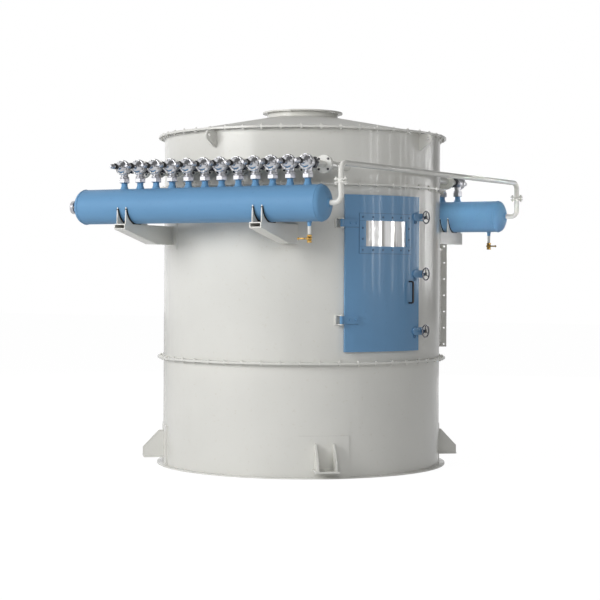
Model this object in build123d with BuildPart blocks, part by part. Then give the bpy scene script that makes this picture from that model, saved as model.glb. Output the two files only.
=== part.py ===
from build123d import *
import os
from math import asin, cos, degrees, radians, sin

# A free-standing pulse jet dust collector: a round steel casing in three bolted
# sections under a shallow cone roof, with an access door that follows the wall,
# a tangential gas inlet, and two compressed air tanks with twelve pulse valves each.
# Millimetres, +Z up. The origin is the centre of the base flange's underside,
# +X runs along the air tanks, and -Y faces the front tank.
# Angles round the casing are in degrees from +X, counted towards +Y.

# Casing
casing_radius = 1150
plate = 5
inner_radius = casing_radius - plate
lower_top = 880
upper_top = 2260
clean_air_top = 2696
radial_root = 500
cut_margin = 1

# Flat bar rims that bolt the sections together
rim_width = 50
rim_bar = 8
rim_radius = casing_radius + rim_width
base_bar = 10
base_hole_radius = 9
base_hole_circle = 1175
base_hole_count = 12

# Cone roof and clean air outlet
roof_slope = 0.192
outlet_radius = 295
outlet_top = 2918
outlet_flange_radius = 334
outlet_flange_bar = 12
outlet_hole_radius = 7
outlet_hole_circle = 317
outlet_hole_count = 12
neck_tail = 20

# Doorway and the curved door over it
door_start = -45.8
door_end = -10.8
door_low = 969
door_high = 2180
doorway_lap = 1.5
doorway_start = door_start + doorway_lap
doorway_end = door_end - doorway_lap
doorway_low = 1000
doorway_high = 2150
door_outer = 1188
door_plate = 5
door_rim_gap = 7
seat_height = 15
seat_bar = 6
gasket_width = 16
gasket_gap = 0.5

# Window in the door
window_start = -37.6
window_end = -18.6
window_low = 1783
window_high = 1981
window_strip = 55
strip_bar = 5
pane_bar = 5
pane_lap = 20

# Door hinge
pin_angle = -47.3
pin_centre_radius = 1205
pin_radius = 7
barrel_radius = 14
barrel_height = 60
hinge_heights = (1216, 1960)
strap_bar = 12
strap_reach = 5.2
pin_play = 0.05
pin_overhang = 14
ear_plate = 8
ear_gap = 1
ear_lap = 2
ear_root = (20, 40)
ear_root_shift = -6

# Door clamps with handwheels
clamp_heights = (1121, 1572, 2020)
clamp_angle = -9.2
clamp_root = -14.9
clamp_nose = 1.2
clamp_bar = 10
clamp_width = 60
catch_pad = (6, 36, 64)
catch_plate = 7
catch_gap = 14
catch_nose_radius = 10
catch_nose_centre = 1170
catch_root_width = 30
spindle_radius = 8
spindle_foot = 1163
spindle_play = 0.05
wheel_plane = 1232
wheel_radius = 53
wheel_rim = 10
hub_radius = 15
spoke_width = 8

# Door handle
handle_angle = -16.8
handle_low = 1345
handle_high = 1512
handle_stand = 42
handle_bar = 12
handle_bend = 14

# Tangential gas inlet
inlet_angle = 21.6
inlet_reach = 760
inlet_width = 230
inlet_low = 985
inlet_high = 1795
inlet_flange_width = 45
inlet_flange_bar = 10
inlet_opening_start = 27.0
inlet_opening_end = 58.0
inlet_hole_radius = 7
inlet_hole_rows = 7

# Compressed air tanks
tank_radius = 136.5
tank_offset = 1437
tank_height = 2087
tank_length = 2230
front_tank_end = 990
rear_tank_end = 1265
head_depth = 68
head_knuckle = 40
valve_count = 12
valve_pitch = 147.3
stub_radius = 24.5
stub_top = 2270
cap_neck_radius = 30
cap_neck_length = 42
cap_overlap = 12
cap_radius = 53
cap_length = 28

# Pulse valves and blow pipes
valve_height = 2390
nut_across = 75
valve_body_radius = 39
cover_radius = 59
valve_back = 60
valve_front = 22
cover_front = 46
dome_front = 64
dome_radius = 41
coil_front = 140
tip_front = 195
tip_radius = 9
coil_width = 40
outlet_nut_length = 40
nozzle_end = 500
blow_pipe_radius = 24
outlet_nut_radius = 44
blow_flange_radius = 70
blow_flange_bar = 28
blow_flange_offset = 1189
nozzle_radius = 30

# Tank brackets
bracket_positions = (-737, 465)
arm_width = 100
arm_plate = 8
arm_tip = 1609
arm_slant_end = 1168
arm_tip_depth = 42
arm_root_depth = 148
rear_arm_depth = 102
saddle_gap = 78
saddle_plate = 8
saddle_rise = 128
saddle_side = 14
saddle_shoulder = 40
saddle_horn = 8
seat_plate_length = 180
liner = 5
liner_start = 190
liner_end = 350
bracket_pad_width = 300
bracket_pad_plate = 8
bracket_pad_drop = 33
bracket_pad_high = 1990

# Air pipe between the tanks
air_pipe_radius = 21
air_pipe_height = 2377
front_riser = (1082, -tank_offset)
rear_riser = (1368, tank_offset)
air_pipe_bend = 60
union_height = 2237
union_width = 110
union_depth = 46
union_gap = 14
union_plate = 8
union_neck = 4
riser_bend = 48
riser_root = 30

# Drain valves
drain_positions = (825, 1110)
drain_pipe_radius = 13
drain_low = 1795
drain_body = 60
drain_body_radius = 20
stem_radius = 8
stem_length = 15
lever_reach = 75
lever_width = 18
lever_plate = 6
lever_stand = 30

# Feet and lifting lugs
foot_angle = -53.1
foot_low = 58
foot_high = 269
foot_reach = 167
foot_nose = 72
foot_shoulder = 35
foot_plate = 12
foot_width = 185
foot_gusset_inset = 22
plate_root = 20
foot_hole_radius = 13
foot_hole_circle = 1250
foot_pad_width = 390
foot_pad_high = 326
foot_pad_plate = 8
lifting_angle = -98.1
lifting_plate = 14
lifting_low = 2550
lifting_hole_radius = 14
lifting_hole_circle = 1233
lifting_hole_height = 2643
lifting_nose = 37

os.makedirs("parts", exist_ok=True)


def save(part, label):
    part.label = label
    export_step(part, f"parts/{label}.step")


def polar(radius, angle, z=0):
    """Point at a radius and an angle round the casing."""
    return (radius * cos(radians(angle)), radius * sin(radians(angle)), z)


def facing_plane(radius, angle, z=0):
    """Plane that faces outward: its x axis runs round the casing and its y axis up."""
    return Plane(
        origin=polar(radius, angle, z),
        x_dir=polar(1, angle + 90),
        z_dir=polar(1, angle),
    )


def section_plane(angle):
    """Upright plane through the casing's axis: its x axis points outward, its y axis up."""
    return Plane(origin=(0, 0, 0), x_dir=polar(1, angle), z_dir=polar(1, angle - 90))


def arc_face(radii, angles):
    """Flat sector between two radii and two angles."""
    inside, outside = radii
    start, end = angles
    with BuildSketch() as sector:
        with BuildLine():
            outer_arc = CenterArc((0, 0), outside, start, end - start)
            inner_arc = CenterArc((0, 0), inside, start, end - start)
            Line(inner_arc @ 0, outer_arc @ 0)
            Line(inner_arc @ 1, outer_arc @ 1)
        make_face()
    return sector.sketch


def arc_block(radii, angles, heights):
    """Curved block between two radii, two angles and two heights."""
    with BuildPart() as block:
        with BuildSketch(Plane.XY.offset(heights[0])):
            add(arc_face(radii, angles))
        extrude(amount=heights[1] - heights[0])
    return block.part


def ring(inside, outside, low, high):
    """Flat ring round the casing's axis."""
    with BuildPart() as bar:
        with BuildSketch(Plane.XY.offset(low)):
            Circle(outside)
            Circle(inside, mode=Mode.SUBTRACT)
        extrude(amount=high - low)
    return bar.part


def casing_plate(label, start, end, low, high):
    save(arc_block((inner_radius, casing_radius), (start, end), (low, high)), label)


def arc_frame(radii, angles, heights, window_angles, window_heights):
    """Curved block with an opening cut right through it."""
    with BuildPart() as frame:
        add(arc_block(radii, angles, heights))
        cut_radii = (radii[0] - cut_margin, radii[1] + cut_margin)
        add(arc_block(cut_radii, window_angles, window_heights), mode=Mode.SUBTRACT)
    return frame.part


# Lower casing, rolled from four plates
for quarter, side in enumerate(("right", "back", "left", "front")):
    quarter_start = -45 + 90 * quarter
    casing_plate(f"lower_wall_{side}", quarter_start, quarter_start + 90, 0, lower_top)

# Upper casing, with plates beside, over and under the doorway and the gas inlet
back_span = (360 + doorway_start - inlet_opening_end) / 3
casing_plate("upper_wall_right", doorway_end, inlet_opening_start, lower_top, upper_top)
for third, side in enumerate(("back", "left", "front")):
    third_start = inlet_opening_end + back_span * third
    casing_plate(f"upper_wall_{side}", third_start, third_start + back_span, lower_top, upper_top)
casing_plate("door_sill_wall", doorway_start, doorway_end, lower_top, doorway_low)
casing_plate("door_head_wall", doorway_start, doorway_end, doorway_high, upper_top)
casing_plate(
    "inlet_sill_wall", inlet_opening_start, inlet_opening_end, lower_top, inlet_low + plate
)
casing_plate(
    "inlet_head_wall", inlet_opening_start, inlet_opening_end, inlet_high - plate, upper_top
)

# Clean air section, where the blow pipes enter
for quarter, side in enumerate(("right", "back", "left", "front")):
    quarter_start = -45 + 90 * quarter
    casing_plate(
        f"clean_air_wall_{side}", quarter_start, quarter_start + 90, upper_top, clean_air_top
    )

# Base flange, which bolts down to a hopper or a bin
with BuildPart() as base_flange:
    add(ring(casing_radius, rim_radius, 0, base_bar))
    with BuildSketch():
        with PolarLocations(base_hole_circle, base_hole_count):
            Circle(base_hole_radius)
    extrude(amount=base_bar, mode=Mode.SUBTRACT)
save(base_flange.part, "base_flange")

# Rims between the sections: two flat bars face to face
with BuildPart() as middle_rim:
    add(ring(casing_radius, rim_radius, lower_top - rim_bar, lower_top + rim_bar))
save(middle_rim.part, "middle_rim")

with BuildPart() as tube_sheet_rim:
    add(ring(casing_radius, rim_radius, upper_top - rim_bar, upper_top + rim_bar))
save(tube_sheet_rim.part, "tube_sheet_rim")

# The roof's rim stands on the wall's rim, and the cone rises from its inner edge
with BuildPart() as top_rim:
    add(ring(casing_radius, rim_radius, clean_air_top - rim_bar, clean_air_top + rim_bar))
save(top_rim.part, "top_rim")

eave = clean_air_top + rim_bar
cone_top = eave + roof_slope * (casing_radius - outlet_radius)
with BuildPart() as cone_roof:
    with BuildSketch(section_plane(0)):
        with BuildLine():
            Polyline(
                (casing_radius, clean_air_top),
                (casing_radius, eave),
                (outlet_radius, cone_top),
                (outlet_radius, cone_top - plate),
                (inner_radius, eave - plate),
                (inner_radius, clean_air_top),
                close=True,
            )
        make_face()
    revolve(axis=Axis.Z)
save(cone_roof.part, "cone_roof")

# Clean air outlet: a short neck through the roof with a flange on top
flange_underside = outlet_top - outlet_flange_bar
with BuildPart() as outlet_neck:
    add(ring(outlet_radius - plate, outlet_radius, cone_top - neck_tail, outlet_top))
save(outlet_neck.part, "outlet_neck")

with BuildPart() as outlet_flange:
    add(ring(outlet_radius, outlet_flange_radius, flange_underside, outlet_top))
    with BuildSketch(Plane.XY.offset(flange_underside)):
        with PolarLocations(outlet_hole_circle, outlet_hole_count):
            Circle(outlet_hole_radius)
    extrude(amount=outlet_flange_bar, mode=Mode.SUBTRACT)
save(outlet_flange.part, "outlet_flange")

# Tangential gas inlet: its outer wall leaves the casing along a tangent
outward = Vector(*polar(1, inlet_angle))
along = Vector(*polar(1, inlet_angle + 90))
inlet_plane = Plane(origin=(0, 0, 0), x_dir=outward, z_dir=(0, 0, 1))
feather = casing_radius * sin(radians(2))
with BuildPart() as inlet_duct:
    inlet_centre = casing_radius - inlet_width / 2
    with BuildSketch(inlet_plane.offset(inlet_low)):
        with Locations((inlet_centre, (feather + inlet_reach) / 2)):
            Rectangle(inlet_width, inlet_reach - feather)
    extrude(amount=inlet_high - inlet_low)
    with BuildSketch(inlet_plane.offset(inlet_low + plate)):
        with Locations((inlet_centre, inlet_reach / 2)):
            Rectangle(inlet_width - 2 * plate, 2 * inlet_reach)
    extrude(amount=inlet_high - inlet_low - 2 * plate, mode=Mode.SUBTRACT)
    with BuildSketch():
        Circle(casing_radius)
    extrude(amount=upper_top, mode=Mode.SUBTRACT)
save(inlet_duct.part, "inlet_duct")

mouth_plane = Plane(
    origin=outward * inlet_centre
    + along * (inlet_reach - inlet_flange_bar)
    + Vector(0, 0, (inlet_low + inlet_high) / 2),
    x_dir=-outward,
    z_dir=along,
)
inlet_height = inlet_high - inlet_low
inlet_hole_span = inlet_width + inlet_flange_width
inlet_hole_pitch = (inlet_height + inlet_flange_width) / (inlet_hole_rows - 1)
with BuildPart() as inlet_flange:
    with BuildSketch(mouth_plane):
        Rectangle(inlet_width + 2 * inlet_flange_width, inlet_height + 2 * inlet_flange_width)
        Rectangle(inlet_width, inlet_height, mode=Mode.SUBTRACT)
        with GridLocations(inlet_hole_span, inlet_hole_pitch, 2, inlet_hole_rows):
            Circle(inlet_hole_radius, mode=Mode.SUBTRACT)
        with GridLocations(0, inlet_height + inlet_flange_width, 1, 2):
            Circle(inlet_hole_radius, mode=Mode.SUBTRACT)
    extrude(amount=inlet_flange_bar)
save(inlet_flange.part, "inlet_flange")


# Compressed air tanks: a pipe with two dished heads and a row of valve stubs
knuckle_centre = tank_radius - head_knuckle
head_crown = (head_depth**2 + knuckle_centre**2 - head_knuckle**2) / (
    2 * (head_depth - head_knuckle)
)
crown_half = degrees(asin(knuckle_centre / (head_crown - head_knuckle)))


def air_tank(side, high_end):
    """Tank on the side given as -1 or 1, with its end towards +X at the place given."""
    y = side * tank_offset
    low_end = high_end - tank_length
    high_seam = high_end - head_depth
    low_seam = low_end + head_depth
    with BuildPart() as tank:
        axis_plane = Plane(origin=(0, y, tank_height), x_dir=(1, 0, 0), z_dir=(0, -1, 0))
        with BuildSketch(axis_plane):
            with BuildLine():
                CenterArc((high_seam, knuckle_centre), head_knuckle, crown_half, 90 - crown_half)
                CenterArc((high_end - head_crown, 0), head_crown, 0, crown_half)
                CenterArc((low_seam, knuckle_centre), head_knuckle, 90, 90 - crown_half)
                CenterArc((low_end + head_crown, 0), head_crown, 180 - crown_half, crown_half)
                Line((low_seam, tank_radius), (high_seam, tank_radius))
                Line((low_end, 0), (high_end, 0))
            make_face()
        revolve(axis=Axis((0, y, tank_height), (1, 0, 0)))
        with BuildSketch(Plane.XY.offset(tank_height)):
            with Locations((0, y)):
                with GridLocations(valve_pitch, 0, valve_count, 1):
                    RegularPolygon(stub_radius, 8)
        extrude(amount=stub_top - tank_height)
    return tank


front_tank = air_tank(-1, front_tank_end)
save(front_tank.part, "front_air_tank")
rear_tank = air_tank(1, rear_tank_end)
save(rear_tank.part, "rear_air_tank")

# Blind flanged caps on the tanks' far ends
with BuildPart() as tank_caps:
    for y, high_end in ((-tank_offset, front_tank_end), (tank_offset, rear_tank_end)):
        end_plane = Plane(
            origin=(high_end - tank_length + cap_overlap, y, tank_height),
            x_dir=(0, 1, 0),
            z_dir=(-1, 0, 0),
        )
        with BuildSketch(end_plane):
            Circle(cap_neck_radius)
        extrude(amount=cap_neck_length)
        with BuildSketch(end_plane.offset(cap_neck_length)):
            Circle(cap_radius)
        extrude(amount=cap_length)
    add(front_tank.part, mode=Mode.SUBTRACT)
    add(rear_tank.part, mode=Mode.SUBTRACT)
save(tank_caps.part, "tank_end_caps")


# One pulse valve: a nut on the stub, a body that turns the air towards the casing,
# a bolted diaphragm cover that faces away from it, and a solenoid on the cover
valve_face = Plane(origin=(0, 0, valve_height), x_dir=(1, 0, 0), z_dir=(0, -1, 0))
with BuildPart() as pulse_valve:
    with BuildSketch(Plane.XY.offset(stub_top)):
        RegularPolygon(nut_across / 2, 6)
    extrude(amount=valve_height - stub_top)
    for start, end, radius, sides in (
        (-valve_back, valve_front, valve_body_radius, 8),
        (valve_front, cover_front, cover_radius, 12),
        (cover_front, dome_front, dome_radius, 8),
        (coil_front, tip_front, tip_radius, 6),
    ):
        with BuildSketch(valve_face.offset(start)):
            RegularPolygon(radius, sides)
        extrude(amount=end - start)
    with BuildSketch(valve_face.offset(dome_front)):
        Rectangle(coil_width, coil_width)
    extrude(amount=coil_front - dome_front)

# One blow pipe: coupling nut, pipe, flange pair and a nozzle that runs to the wall
blow_start = blow_flange_offset - blow_flange_bar
nut_end = tank_offset - valve_back
nut_start = nut_end - outlet_nut_length
with BuildPart() as blow_pipe:
    for start, end, radius, sides in (
        (nut_start, nut_end, outlet_nut_radius, 8),
        (blow_flange_offset, nut_start, blow_pipe_radius, 8),
        (blow_start, blow_flange_offset, blow_flange_radius, 12),
        (nozzle_end, blow_start, nozzle_radius, 8),
    ):
        with BuildSketch(valve_face.offset(start)):
            RegularPolygon(radius, sides)
        extrude(amount=end - start)

# Twelve of each stand in a row on each tank, facing away from the casing
row_places = [(row - (valve_count - 1) / 2) * valve_pitch for row in range(valve_count)]
front_row = [Location((x, 0, 0)) for x in row_places]
rear_row = [Location((x, 0, 0), (0, 0, 180)) for x in row_places]
for side, row in (("front", front_row), ("rear", rear_row)):
    with BuildPart() as pulse_valves:
        with Locations(row):
            add(pulse_valve.part.moved(Location((0, -tank_offset, 0))))
    save(pulse_valves.part, f"{side}_pulse_valves")
    with BuildPart() as blow_pipes:
        with Locations(row):
            add(blow_pipe.part)
        with BuildSketch(Plane.XY.offset(upper_top)):
            Circle(casing_radius)
        extrude(amount=clean_air_top - upper_top, mode=Mode.SUBTRACT)
    save(blow_pipes.part, f"{side}_blow_pipes")

# Tank brackets: a box arm on a curved pad, with two saddle plates round the tank
arm_top = tank_height - tank_radius - liner


def tank_brackets(side, depth_at_tip, depth_at_root):
    with BuildPart() as brackets:
        for position in bracket_positions:
            x = position if side < 0 else -position
            middle = degrees(asin(x / casing_radius)) * -side + 90 * side
            half = degrees(bracket_pad_width / 2 / casing_radius)
            pad_low = arm_top - depth_at_root - bracket_pad_drop
            pad_radii = (casing_radius, casing_radius + bracket_pad_plate)
            add(arc_block(pad_radii, (middle - half, middle + half), (pad_low, bracket_pad_high)))
            for wall in (-1, 1):
                wall_plane = Plane(
                    origin=(x + wall * (arm_width - arm_plate) / 2, 0, 0),
                    x_dir=(0, side, 0),
                    z_dir=(side, 0, 0),
                )
                with BuildSketch(wall_plane):
                    with BuildLine():
                        Polyline(
                            (radial_root, arm_top),
                            (arm_tip, arm_top),
                            (arm_tip, arm_top - depth_at_tip),
                            (arm_slant_end, arm_top - depth_at_root),
                            (radial_root, arm_top - depth_at_root),
                            close=True,
                        )
                    make_face()
                extrude(amount=arm_plate / 2, both=True)
            floor_plane = Plane(origin=(x, 0, 0), x_dir=(0, side, 0), z_dir=(side, 0, 0))
            with BuildSketch(floor_plane):
                with BuildLine():
                    Polyline(
                        (radial_root, arm_top - depth_at_root),
                        (arm_slant_end, arm_top - depth_at_root),
                        (arm_tip, arm_top - depth_at_tip),
                        (arm_tip, arm_top - depth_at_tip + arm_plate),
                        (arm_slant_end, arm_top - depth_at_root + arm_plate),
                        (radial_root, arm_top - depth_at_root + arm_plate),
                        close=True,
                    )
                make_face()
            extrude(amount=arm_width / 2, both=True)
            with BuildSketch(Plane.XY.offset(arm_top - arm_plate)):
                with Locations((x, side * (tank_offset + arm_tip) / 2)):
                    Rectangle(arm_width, arm_tip - tank_offset)
                with Locations((x, side * (tank_offset - seat_plate_length / 2))):
                    Rectangle(arm_width, seat_plate_length)
            extrude(amount=arm_plate)
            for wall in (-1, 1):
                saddle_plane = Plane(
                    origin=(x + wall * saddle_gap / 2, side * tank_offset, arm_top),
                    x_dir=(0, side, 0),
                    z_dir=(side, 0, 0),
                )
                with BuildSketch(saddle_plane):
                    with BuildLine():
                        Polyline(
                            (-tank_radius - saddle_side, 0),
                            (tank_radius + saddle_side, 0),
                            (tank_radius + saddle_side, saddle_shoulder),
                            (tank_radius + saddle_horn, saddle_rise),
                            (-tank_radius - saddle_horn, saddle_rise),
                            (-tank_radius - saddle_side, saddle_shoulder),
                            close=True,
                        )
                    make_face()
                    with Locations((0, tank_radius + liner)):
                        Circle(tank_radius + liner, mode=Mode.SUBTRACT)
                extrude(amount=saddle_plate / 2, both=True)
        with BuildSketch(Plane.XY.offset(lower_top)):
            Circle(casing_radius)
        extrude(amount=upper_top - lower_top, mode=Mode.SUBTRACT)
    return brackets


front_brackets = tank_brackets(-1, arm_tip_depth, arm_root_depth)
save(front_brackets.part, "front_tank_brackets")
rear_brackets = tank_brackets(1, rear_arm_depth, rear_arm_depth)
save(rear_brackets.part, "rear_tank_brackets")

# Rubber liners between the saddles and the tanks
with BuildPart() as saddle_liners:
    for side in (-1, 1):
        for position in bracket_positions:
            x = position if side < 0 else -position
            liner_plane = Plane(
                origin=(x, side * tank_offset, tank_height), x_dir=(0, 1, 0), z_dir=(1, 0, 0)
            )
            with BuildSketch(liner_plane):
                add(arc_face((tank_radius, tank_radius + liner), (liner_start, liner_end)))
            extrude(amount=(saddle_gap + saddle_plate) / 2, both=True)
save(saddle_liners.part, "saddle_liners")

# Air pipe between the tanks, in three lengths that meet above the unions
with BuildPart() as air_header:
    with BuildLine() as header_line:
        FilletPolyline(
            (*front_riser, union_height + union_gap),
            (*front_riser, air_pipe_height),
            (*rear_riser, air_pipe_height),
            (*rear_riser, union_height + union_gap),
            radius=air_pipe_bend,
        )
    with BuildSketch(Plane(origin=(*front_riser, union_height + union_gap), z_dir=(0, 0, 1))):
        Circle(air_pipe_radius)
    sweep(path=header_line.line)
    for riser in (front_riser, rear_riser):
        with BuildSketch(Plane.XY.offset(union_height + union_gap)):
            with Locations(riser):
                SlotOverall(union_width, union_depth)
        extrude(amount=union_plate)
save(air_header.part, "air_header_pipe")


def tank_riser(riser, tank_end):
    """Elbow from a tank's end up to the union, clear of the tank's head."""
    with BuildPart() as elbow:
        with BuildLine() as elbow_line:
            FilletPolyline(
                (tank_end - riser_root, riser[1], tank_height),
                (riser[0], riser[1], tank_height),
                (*riser, union_height),
                radius=riser_bend,
            )
        with BuildSketch(
            Plane(origin=(tank_end - riser_root, riser[1], tank_height), z_dir=(1, 0, 0))
        ):
            Circle(air_pipe_radius)
        sweep(path=elbow_line.line)
        with BuildSketch(Plane.XY.offset(union_height - union_plate)):
            with Locations(riser):
                SlotOverall(union_width, union_depth)
        extrude(amount=union_plate)
        with BuildSketch(Plane.XY.offset(union_height)):
            with Locations(riser):
                Circle(air_pipe_radius + union_neck)
        extrude(amount=union_gap)
        add(front_tank.part, mode=Mode.SUBTRACT)
        add(rear_tank.part, mode=Mode.SUBTRACT)
    return elbow


save(tank_riser(front_riser, front_tank_end).part, "front_riser_pipe")
save(tank_riser(rear_riser, rear_tank_end).part, "rear_riser_pipe")

# Condensate drains under the tanks: a short pipe and a ball valve
drain_top = drain_low + drain_body
stem_height = drain_low + drain_body / 2
with BuildPart() as drain_valves:
    for x, y in ((drain_positions[0], -tank_offset), (drain_positions[1], tank_offset)):
        with BuildSketch(Plane.XY.offset(drain_top)):
            with Locations((x, y)):
                Circle(drain_pipe_radius)
        extrude(amount=tank_height - drain_top)
        with BuildSketch(Plane.XY.offset(drain_low)):
            with Locations((x, y)):
                RegularPolygon(drain_body_radius, 6)
        extrude(amount=drain_body)
        stem_plane = Plane(
            origin=(x, y - lever_stand + stem_length, stem_height),
            x_dir=(1, 0, 0),
            z_dir=(0, -1, 0),
        )
        with BuildSketch(stem_plane):
            Circle(stem_radius)
        extrude(amount=stem_length)
    add(front_tank.part, mode=Mode.SUBTRACT)
    add(rear_tank.part, mode=Mode.SUBTRACT)
save(drain_valves.part, "drain_valves")


def drain_lever(x, y, reach):
    """Lever on the stem of a drain valve, which points along X when the valve is shut."""
    lever_plane = Plane(
        origin=(x, y - lever_stand, stem_height), x_dir=(1, 0, 0), z_dir=(0, -1, 0)
    )
    with BuildPart() as lever:
        with BuildSketch(lever_plane):
            with Locations((reach / 2, 0)):
                SlotOverall(lever_reach + drain_body_radius, lever_width)
        extrude(amount=lever_plate)
    return lever


save(drain_lever(drain_positions[0], -tank_offset, -lever_reach).part, "front_drain_lever")
save(drain_lever(drain_positions[1], tank_offset, lever_reach).part, "rear_drain_lever")

# Feet: a curved pad, two gussets and a bottom plate with a bolt hole
foot_outer = casing_radius + foot_reach
foot_pad_outer = casing_radius + foot_pad_plate
with BuildPart() as foot_pads:
    for quarter in range(4):
        angle = foot_angle + 90 * quarter
        half = degrees(foot_pad_width / 2 / casing_radius)
        pad_radii = (casing_radius, foot_pad_outer)
        add(arc_block(pad_radii, (angle - half, angle + half), (base_bar, foot_pad_high)))
save(foot_pads.part, "foot_pads")

with BuildPart() as support_feet:
    for quarter in range(4):
        angle = foot_angle + 90 * quarter
        side_plane = section_plane(angle)
        for wall in (-1, 1):
            with BuildSketch(side_plane.offset(wall * (foot_width / 2 - foot_gusset_inset))):
                with BuildLine():
                    Polyline(
                        (casing_radius - plate_root, foot_low),
                        (foot_outer, foot_low),
                        (foot_outer, foot_low + foot_nose),
                        (casing_radius + foot_shoulder, foot_high),
                        (casing_radius - plate_root, foot_high),
                        close=True,
                    )
                make_face()
            extrude(amount=foot_plate / 2, both=True)
        with BuildSketch(side_plane):
            foot_middle = (casing_radius - plate_root + foot_outer) / 2
            with Locations((foot_middle, foot_low + foot_plate / 2)):
                Rectangle(foot_reach + plate_root, foot_plate)
        extrude(amount=foot_width / 2, both=True)
        with BuildSketch(Plane.XY.offset(foot_low)):
            with Locations(polar(foot_hole_circle, angle)):
                Circle(foot_hole_radius)
        extrude(amount=foot_plate, mode=Mode.SUBTRACT)
    with BuildSketch():
        Circle(foot_pad_outer)
    extrude(amount=lower_top, mode=Mode.SUBTRACT)
save(support_feet.part, "support_feet")

# Lifting lugs: radial plates under the top rim with a shackle hole
with BuildPart() as lifting_lugs:
    for quarter in range(4):
        with BuildSketch(section_plane(lifting_angle + 90 * quarter)):
            with Locations((lifting_hole_circle, lifting_hole_height)):
                Circle(lifting_nose)
            with Locations((casing_radius, (lifting_low + clean_air_top - rim_bar) / 2)):
                Rectangle(plate_root, clean_air_top - rim_bar - lifting_low)
            make_hull()
            with Locations((lifting_hole_circle, lifting_hole_height)):
                Circle(lifting_hole_radius, mode=Mode.SUBTRACT)
        extrude(amount=lifting_plate / 2, both=True)
    with BuildSketch(Plane.XY.offset(upper_top)):
        Circle(casing_radius)
    extrude(amount=clean_air_top - upper_top, mode=Mode.SUBTRACT)
save(lifting_lugs.part, "lifting_lugs")

# Seat round the doorway that the door closes on
seat_outer = casing_radius + seat_height
seat_angle = degrees(seat_bar / casing_radius)
door_seat = arc_frame(
    (casing_radius, seat_outer),
    (doorway_start - seat_angle, doorway_end + seat_angle),
    (doorway_low - seat_bar, doorway_high + seat_bar),
    (doorway_start, doorway_end),
    (doorway_low, doorway_high),
)
save(door_seat, "door_seat")

# Curved door: a pan with a turned edge and a window cut through it
door_face_inner = door_outer - door_plate
door_edge_inner = casing_radius + door_rim_gap
edge_angle = degrees(door_plate / casing_radius)
with BuildPart() as door_panel:
    add(arc_block((door_edge_inner, door_outer), (door_start, door_end), (door_low, door_high)))
    add(
        arc_block(
            (door_edge_inner - cut_margin, door_face_inner),
            (door_start + edge_angle, door_end - edge_angle),
            (door_low + door_plate, door_high - door_plate),
        ),
        mode=Mode.SUBTRACT,
    )
    add(
        arc_block(
            (door_face_inner - cut_margin, door_outer + cut_margin),
            (window_start, window_end),
            (window_low, window_high),
        ),
        mode=Mode.SUBTRACT,
    )
save(door_panel.part, "door_panel")

# Rubber gasket inside the door, which closes on the seat's edge
gasket_lap = (gasket_width - seat_bar) / 2
gasket_angle = degrees((gasket_lap + seat_bar) / casing_radius)
gasket_lap_angle = degrees(gasket_lap / casing_radius)
door_gasket = arc_frame(
    (seat_outer + gasket_gap, door_face_inner),
    (doorway_start - gasket_angle, doorway_end + gasket_angle),
    (doorway_low - seat_bar - gasket_lap, doorway_high + seat_bar + gasket_lap),
    (doorway_start + gasket_lap_angle, doorway_end - gasket_lap_angle),
    (doorway_low + gasket_lap, doorway_high - gasket_lap),
)
save(door_gasket, "door_gasket")

# Window pane behind the door's face, and the strips round the window in front of it
strip_angle = degrees(window_strip / door_outer)
lap_angle = degrees(pane_lap / door_outer)
window_pane = arc_block(
    (door_face_inner - pane_bar, door_face_inner),
    (window_start - lap_angle, window_end + lap_angle),
    (window_low - pane_lap, window_high + pane_lap),
)
save(window_pane, "window_pane")

window_frame = arc_frame(
    (door_outer, door_outer + strip_bar),
    (window_start - strip_angle, window_end + strip_angle),
    (window_low - window_strip, window_high + window_strip),
    (window_start, window_end),
    (window_low, window_high),
)
save(window_frame, "window_frame")

# Hinges: straps with barrels on the door, ears and pins on the wall
pin_place = polar(pin_centre_radius, pin_angle)
strap_outer = door_outer + strap_bar
with BuildPart() as hinge_straps:
    for height in hinge_heights:
        low = height - barrel_height / 2
        strap_radii = (door_outer, strap_outer)
        strap_angles = (pin_angle, door_start + strap_reach)
        add(arc_block(strap_radii, strap_angles, (low, low + barrel_height)))
        with BuildSketch(Plane.XY.offset(low)):
            with Locations(pin_place):
                Circle(barrel_radius)
        extrude(amount=barrel_height)
        with BuildSketch(Plane.XY.offset(low)):
            with Locations(pin_place):
                Circle(pin_radius + pin_play)
        extrude(amount=barrel_height, mode=Mode.SUBTRACT)
save(hinge_straps.part, "hinge_straps")

with BuildPart() as hinge_ears:
    ear_plane = Plane(origin=(0, 0, 0), x_dir=polar(1, pin_angle), z_dir=(0, 0, 1))
    for height in hinge_heights:
        for wall in (-1, 1):
            ear_middle = height + wall * (barrel_height / 2 + ear_gap + ear_plate / 2)
            with BuildSketch(ear_plane.offset(ear_middle)):
                with Locations((pin_centre_radius, 0)):
                    Circle(barrel_radius + ear_lap)
                with Locations((casing_radius, ear_root_shift)):
                    Rectangle(*ear_root)
                make_hull()
            extrude(amount=ear_plate / 2, both=True)
        with BuildSketch(Plane.XY.offset(height)):
            with Locations(pin_place):
                Circle(pin_radius)
        extrude(amount=barrel_height / 2 + pin_overhang, both=True)
    with BuildSketch(Plane.XY.offset(lower_top)):
        Circle(casing_radius)
    extrude(amount=upper_top - lower_top, mode=Mode.SUBTRACT)
save(hinge_ears.part, "hinge_ears")

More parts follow.
